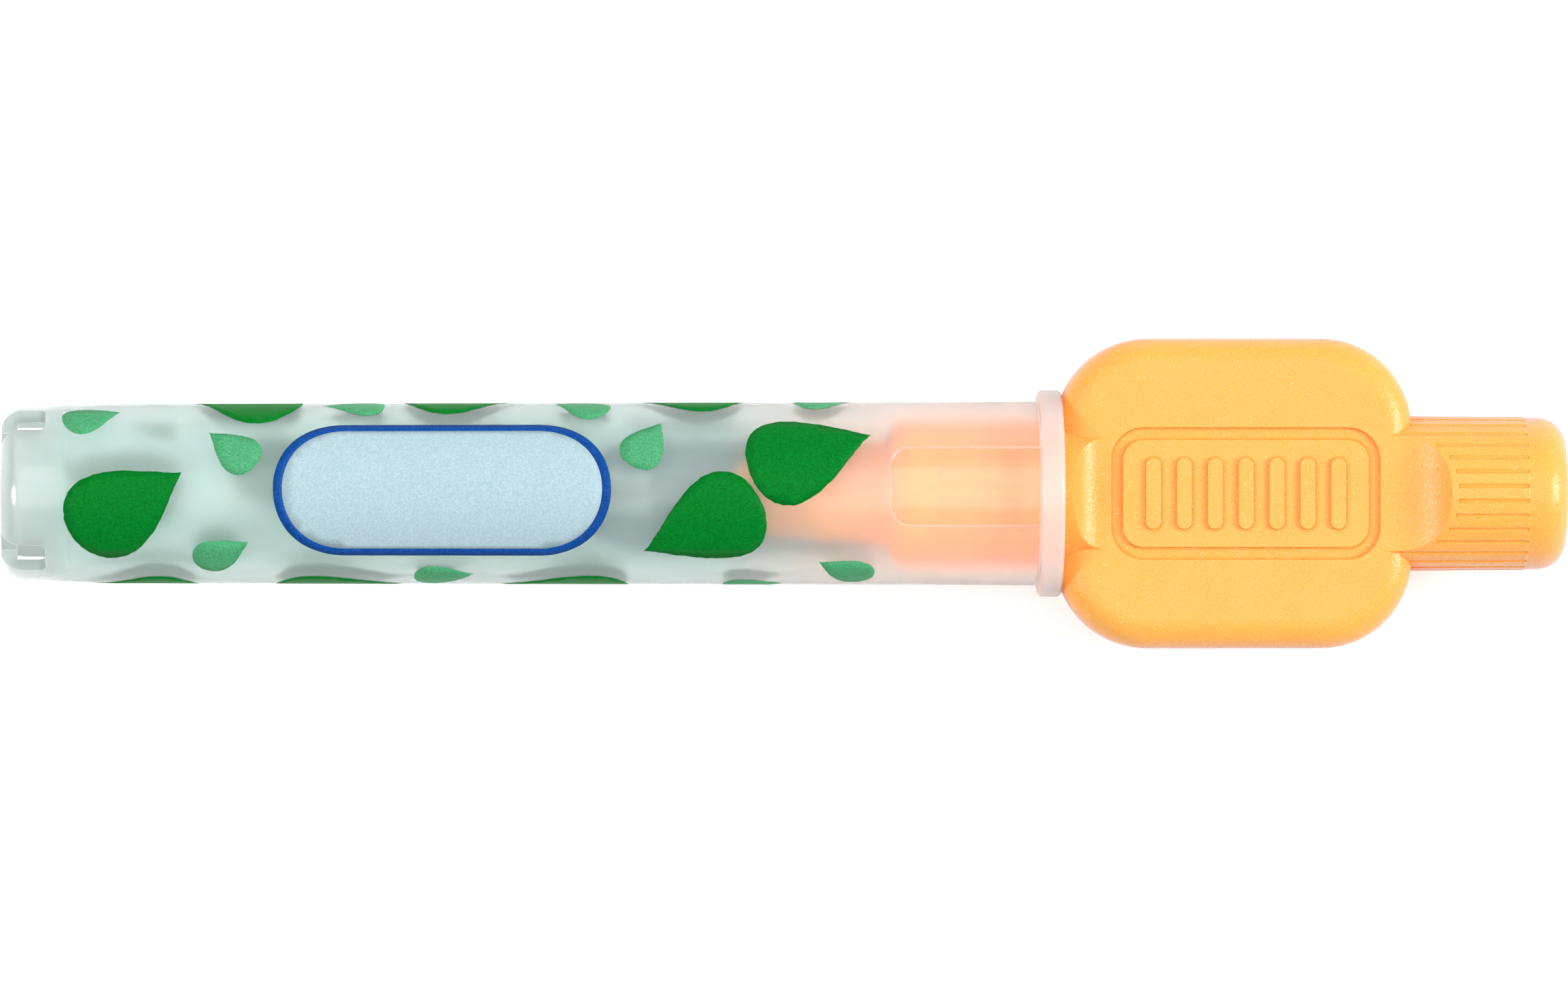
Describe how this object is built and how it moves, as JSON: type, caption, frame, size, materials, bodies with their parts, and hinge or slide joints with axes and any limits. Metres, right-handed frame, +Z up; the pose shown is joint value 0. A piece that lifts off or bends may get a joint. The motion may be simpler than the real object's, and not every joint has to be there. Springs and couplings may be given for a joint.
{
  "type": "interdental brush",
  "caption": "Interdental brush with a flat gripping plate, a ribbed plug at its end and a clear vented travel cap pushed over its twisted wire brush.",
  "frame": {"origin": "middle of the whole length, on the surface that the brush lies on, under its axis", "axes": "+X along the brush from the cap's closed end to the ribbed plug, +Y across the plate, +Z up through the plate's face"},
  "size_m": [0.0964, 0.019, 0.0127],
  "materials": {
    "clear_cap": "injection moulded clear polypropylene, slightly milky, printed outside",
    "orange_handle": "injection moulded polypropylene with a fine satin grain",
    "wire": "thin stainless wire folded in two and twisted, with a bonded plastic coat",
    "filament": "soft white nylon filament"
  },
  "bodies": {
    "brush": {"handle": "orange_handle", "twisted_wire": "wire", "bristles": "filament"},
    "cap": {"travel_cap": "clear_cap"}
  },
  "joints": [
    {"name": "cap_slide", "type": "slide", "parent": "brush", "child": "cap", "axis": [-1, 0, 0], "range_m": [0, 0.045]}
  ]
}
